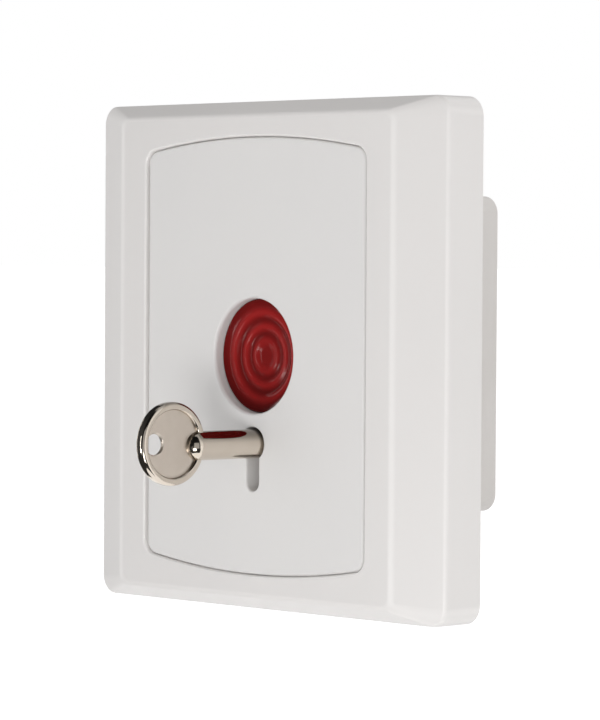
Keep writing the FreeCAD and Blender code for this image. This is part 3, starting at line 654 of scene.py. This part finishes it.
# inner panel, plate, housing and the parts that show from behind

panelShape = {
    "front": -10.45, "flatness": 0.01, "holesWithin": 24.0,
    "edgeRound": 0.4, "edgeSteps": 6, "holeRound": 0.5, "holeSteps": 4,
    "slotRound": 0.6, "slotSteps": 5, "keyholeTop": -10.5, "keyholeHalf": 4.0,
    "halfX": 26.8, "halfZ": 36.75, "widerBy": 0.25, "tallerBy": 0.14,
    "lift": 0.7, "liftFrom": -9.0,
}


def onPanelFront(p):
    return abs(p.y - panelShape["front"]) < panelShape["flatness"]


def onPanelEdge(p):
    return onPanelFront(p) and max(abs(p.x), abs(p.z)) > panelShape["holesWithin"]


def fitPanel(p):
    # fills the frame's window to a hairline, and brings the panel's front closer to the frame's
    c = panelShape
    x, z = abs(p.x), abs(p.z)
    x += c["widerBy"] * max(0, x - c["holesWithin"]) / (c["halfX"] - c["holesWithin"])
    z += c["tallerBy"] * max(0, z - c["holesWithin"]) / (c["halfZ"] - c["holesWithin"])
    share = max(0, c["liftFrom"] - p.y) / (c["liftFrom"] - c["front"])
    return Vector((math.copysign(x, p.x), p.y - c["lift"] * share, math.copysign(z, p.z)))


def onKeyhole(p):
    return (onPanelFront(p) and p.z < panelShape["keyholeTop"]
            and abs(p.x) < panelShape["keyholeHalf"])


softened("inner_panel", [
    (panelShape["edgeRound"], panelShape["edgeSteps"], onPanelEdge),
    (panelShape["slotRound"], panelShape["slotSteps"], onKeyhole),
    (panelShape["holeRound"], panelShape["holeSteps"], onPanelFront)], fitPanel)
print("panel made")

edgeSteps = 3
edgeRounds = {
    "base_plate": 0.25, "rear_housing": 0.7, "contact_block": 0.15,
    "block_lid": 0.12, "latch_cover": 0.12, "mechanism_plate": 0.12, "housing_screws": 0.12,
    "mechanism_screws": 0.1, "terminal_screws": 0.1, "terminal_clamps": 0.08,
}
for nodeName, radius in edgeRounds.items():
    softened(nodeName, [(radius, edgeSteps, lambda p: True)])
print("moulded and stamped edges softened:", len(edgeRounds))


# springs

springShapes = {
    "button_spring": {"radius": 5.5, "wire": 0.7, "coils": 4, "start": (0, -6.95, 0), "axis": "y",
                      "length": 6.95, "joint": "button_press", "travel": 3.0},
    "plunger_spring": {"radius": 1.4, "wire": 0.3, "coils": 4, "start": (0, 14.0, 0), "axis": "y",
                       "length": 6.4, "joint": "button_press", "travel": 3.0},
    "latch_spring": {"radius": 1.1, "wire": 0.35, "coils": 5, "start": (0, 4.35, 8.6), "axis": "z",
                     "length": 8.6, "joint": "latch_lift", "travel": 1.5},
}


wireSteps, turnSteps = 10, 28   # sides of the wire, and pieces in one turn of the coil


def makeSpring(nodeName, s):
    shape = bmesh.new()
    rings = []
    total = s["coils"] * turnSteps
    rise = (s["length"] - s["wire"]) / total
    tilt = math.atan2(rise * turnSteps, 2 * math.pi * s["radius"])
    for i in range(total + 1):
        angle = 2 * math.pi * i / turnSteps
        out = Vector((math.cos(angle), math.sin(angle), 0))
        lean = Vector((math.sin(angle) * math.sin(tilt), -math.cos(angle) * math.sin(tilt),
                       math.cos(tilt)))
        middle = out * s["radius"] + Vector((0, 0, s["wire"] / 2 + rise * i))
        ring = []
        for j in range(wireSteps):
            around = 2 * math.pi * j / wireSteps
            p = middle + (out * math.cos(around) + lean * math.sin(around)) * s["wire"] / 2
            # the coil climbs along its own Z, which is turned to the spring's axis here
            ring.append((p.x, p.z, -p.y) if s["axis"] == "y" else (p.x, p.y, p.z))
        rings.append([Vector(q) + Vector(s["start"]) for q in ring])
    made = skin(shape, rings, False)
    shape.faces.new(made[0])
    shape.faces.new(made[-1])
    piece = standFor(finishMesh(shape, nodeName + "_wire", [springSteel]), nodeName)
    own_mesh(piece)


for nodeName, springShape in springShapes.items():
    makeSpring(nodeName, springShape)
print("springs wound:", len(springShapes))


# finishes of the solids that keep their own shape

for nodeName, node in frame["nodes"].items():
    for place in node.material_slots:
        place.material = finishes[nodeName]


# floor, light and camera

studio = {
    # lengths are in metres, as the scene's are
    "floorHeight": -0.16, "floorReach": 60.0, "floorColour": "#F4F4F4", "floorShade": "#F7F7F7",
    "paperGrain": 2.0,   # in millimetres; paper's own grain is finer and wouldn't show
    "floorGlow": 0.8, "floorGlowLevel": 1.25,
    "domeLevel": 1.048, "domeLean": (0.0, 0.5, -0.35),
    "lamp": {"name": "lowFront", "at": (0.202, -0.38, -0.131), "aim": (0, 0, 0),
             "size": 0.16, "power": 0.8},
    # boards round the table, seen only in gloss: azimuth and elevation ranges in degrees, and how
    # much nearer than boardDistance each stands
    "boardDistance": 0.45, "boardSteps": 12,
    "boards": [
        {"name": "darkRoomSide", "azimuth": (6, 36), "elevation": (-20, 80), "grey": 0.01},
        {"name": "greyByCamera", "azimuth": (36, 76), "elevation": (-20, 24), "grey": 0.45},
        {"name": "darkOverCamera", "azimuth": (36, 76), "elevation": (24, 80), "grey": 0.01},
        {"name": "darkPastCamera", "azimuth": (76, 84), "elevation": (-20, 80), "grey": 0.01},
        {"name": "shadeByDoor", "azimuth": (-21, 6), "elevation": (-20, 80), "grey": 0.05},
        {"name": "dimRoomSide", "azimuth": (-64, -21), "elevation": (-20, 80), "grey": 0.06},
        {"name": "dimFarSide", "azimuth": (-150, -64), "elevation": (-20, 15), "grey": 0.35},
        {"name": "darkFarSide", "azimuth": (-150, -64), "elevation": (15, 80), "grey": 0.04},
        {"name": "rightStrip", "azimuth": (-29, -23), "elevation": (-20, 14), "grey": 7.0,
         "nearer": 0.02},
        {"name": "leftStrip", "azimuth": (-81, -74), "elevation": (-20, 32), "grey": 3.6,
         "nearer": 0.02},
        {"name": "tableShade", "azimuth": (-88, 84), "elevation": (-52, -20), "grey": 0.03,
         "nearer": 0.25},
        {"name": "whiteCard", "azimuth": (26, 48), "elevation": (-36, -20), "grey": 5.0,
         "nearer": 0.27},
        {"name": "lowStrip", "azimuth": (-20, -15), "elevation": (-22, -13), "grey": 30.0,
         "nearer": 0.1},
    ],
}


def seenDirectly(tree):
    # 1 for rays from the camera, in a mirror or through glass, 0 for the light on the object
    path = addNode(tree, "ShaderNodeLightPath", {})
    first = addNode(tree, "ShaderNodeMath", {"operation": "MAXIMUM"},
                    {0: path.outputs["Is Camera Ray"], 1: path.outputs["Is Glossy Ray"]})
    return addNode(tree, "ShaderNodeMath", {"operation": "MAXIMUM"},
                   {0: first.outputs[0], 1: path.outputs["Is Transmission Ray"]}).outputs[0]


def placeStage(shape, name, material):
    mesh = bpy.data.meshes.new(name)
    shape.to_mesh(mesh)
    shape.free()
    mesh.materials.append(material)
    piece = bpy.data.objects.new(name, mesh)
    bpy.context.scene.collection.objects.link(piece)
    return piece


def makeFloor():
    # plain pale paper: it glows enough to meet the white background, and still takes the shadow
    material, tree, shader = startMaterial("palePaper", {"Roughness": 0.9, "IOR": 1.5})
    grain = addNode(tree, "ShaderNodeTexNoise",
                    {"Scale": perMetre(studio["paperGrain"]), "Detail": 2.0})
    tone = addNode(tree, "ShaderNodeMix",
                   {"data_type": "RGBA", 6: linear(studio["floorColour"]),
                    7: linear(studio["floorShade"])},
                   {0: grain.outputs["Fac"]}).outputs[2]
    tree.links.new(tone, shader.inputs["Base Color"])
    glow = addNode(tree, "ShaderNodeEmission",
                   {"Color": (1, 1, 1, 1), "Strength": studio["floorGlowLevel"]})
    share = addNode(tree, "ShaderNodeMath", {"operation": "MULTIPLY", 1: studio["floorGlow"]},
                    {0: seenDirectly(tree)}).outputs[0]
    mixed = addNode(tree, "ShaderNodeMixShader", {},
                    {0: share, 1: shader.outputs[0], 2: glow.outputs[0]})
    tree.links.new(mixed.outputs[0], tree.nodes["Material Output"].inputs["Surface"])
    shape = bmesh.new()
    bmesh.ops.create_grid(shape, x_segments=2, y_segments=2, size=studio["floorReach"],
                          matrix=Matrix.Translation((0, 0, studio["floorHeight"])))
    placeStage(shape, "paleFloor", material)


def towards(azimuth, elevation):
    # unit vector; azimuth 0 is straight ahead of the front, and it grows to the viewer's right
    return Vector((math.sin(azimuth) * math.cos(elevation),
                   -math.cos(azimuth) * math.cos(elevation), math.sin(elevation)))


def makeBoard(board):
    # a patch of a sphere about the part
    material, tree = startMaterial(board["name"], {})[:2]
    glow = addNode(tree, "ShaderNodeEmission", {"Color": (1, 1, 1, 1), "Strength": board["grey"]})
    tree.links.new(glow.outputs[0], tree.nodes["Material Output"].inputs["Surface"])
    steps = studio["boardSteps"]
    distance = studio["boardDistance"] - board.get("nearer", 0)
    shape = bmesh.new()
    rows = []
    for i in range(steps + 1):
        row = []
        for j in range(steps + 1):
            low, high = board["azimuth"]
            azimuth = math.radians(low + (high - low) * i / steps)
            low, high = board["elevation"]
            elevation = math.radians(low + (high - low) * j / steps)
            row.append(shape.verts.new(distance * towards(azimuth, elevation)))
        rows.append(row)
    for a, b in zip(rows, rows[1:]):
        for j in range(steps):
            shape.faces.new((a[j], a[j + 1], b[j + 1], b[j]))
    piece = placeStage(shape, board["name"], material)
    for ray in ("camera", "diffuse", "transmission", "volume_scatter", "shadow"):
        setattr(piece, "visible_" + ray, False)


def makeWorld():
    world = bpy.data.worlds.new("softStudio")
    bpy.context.scene.world = world
    world.use_nodes = True
    tree = world.node_tree
    tree.nodes.clear()
    # a soft dome, brighter towards domeLean
    toward = addNode(tree, "ShaderNodeTexCoord", {}).outputs["Generated"]
    lean = addNode(tree, "ShaderNodeVectorMath",
                   {"operation": "DOT_PRODUCT", 1: studio["domeLean"]}, {0: toward})
    level = addNode(tree, "ShaderNodeMath", {"operation": "ADD", 1: studio["domeLevel"]},
                    {0: lean.outputs["Value"]})
    light = addNode(tree, "ShaderNodeBackground", {"Color": (1, 1, 1, 1)},
                    {"Strength": level.outputs[0]})
    white = addNode(tree, "ShaderNodeBackground", {"Color": (1, 1, 1, 1), "Strength": 1.0})
    mixed = addNode(tree, "ShaderNodeMixShader", {},
                    {0: seenDirectly(tree), 1: light.outputs[0], 2: white.outputs[0]})
    addNode(tree, "ShaderNodeOutputWorld", {}, {"Surface": mixed.outputs[0]})


def makeLamp(lamp):
    data = bpy.data.lights.new(lamp["name"], "AREA")
    data.shape = "SQUARE"
    data.size = lamp["size"]
    data.energy = lamp["power"]
    lampObject = bpy.data.objects.new(lamp["name"], data)
    lampObject.location = lamp["at"]
    lampObject.rotation_mode = "QUATERNION"
    aim = Vector(lamp["aim"]) - Vector(lamp["at"])
    lampObject.rotation_quaternion = aim.to_track_quat("-Z", "Y")
    lampObject.visible_camera = False
    bpy.context.scene.collection.objects.link(lampObject)


cameraPlace = {
    # angles in degrees, lengths in millimetres, focal length in pixels of the image
    "azimuth": 47.061, "elevation": 1.599, "roll": 0.361, "distance": 642.616,
    "aimRight": -0.196, "aimUp": -0.847, "focalPixels": 3769.28, "imageHeight": 720,
    "sensorWidth": 36.0, "nearest": 50.0, "furthest": 50000.0,
}


def makeCamera():
    c = cameraPlace
    azimuth, elevation, roll = (math.radians(c[key]) for key in ("azimuth", "elevation", "roll"))
    back = towards(azimuth, elevation)
    right = (-back).cross(Vector((0, 0, 1))).normalized()
    up = right.cross(-back)
    aim = right * c["aimRight"] + Vector((0, 0, c["aimUp"]))
    across = right * math.cos(roll) + up * math.sin(roll)
    upward = up * math.cos(roll) - right * math.sin(roll)
    turn = Matrix((across, upward, back)).transposed()
    data = bpy.data.cameras.new("viewCamera")
    data.sensor_width = c["sensorWidth"]
    data.lens = c["focalPixels"] / c["imageHeight"] * data.sensor_width
    data.clip_start, data.clip_end = c["nearest"] * mm, c["furthest"] * mm
    camera = bpy.data.objects.new("viewCamera", data)
    camera.matrix_world = Matrix.Translation((aim + back * c["distance"]) * mm) @ turn.to_4x4()
    bpy.context.scene.collection.objects.link(camera)
    bpy.context.scene.camera = camera


makeFloor()
for board in studio["boards"]:
    makeBoard(board)
makeWorld()
makeLamp(studio["lamp"])
makeCamera()
bpy.context.scene.view_settings.view_transform = "Standard"
print("studio ready")
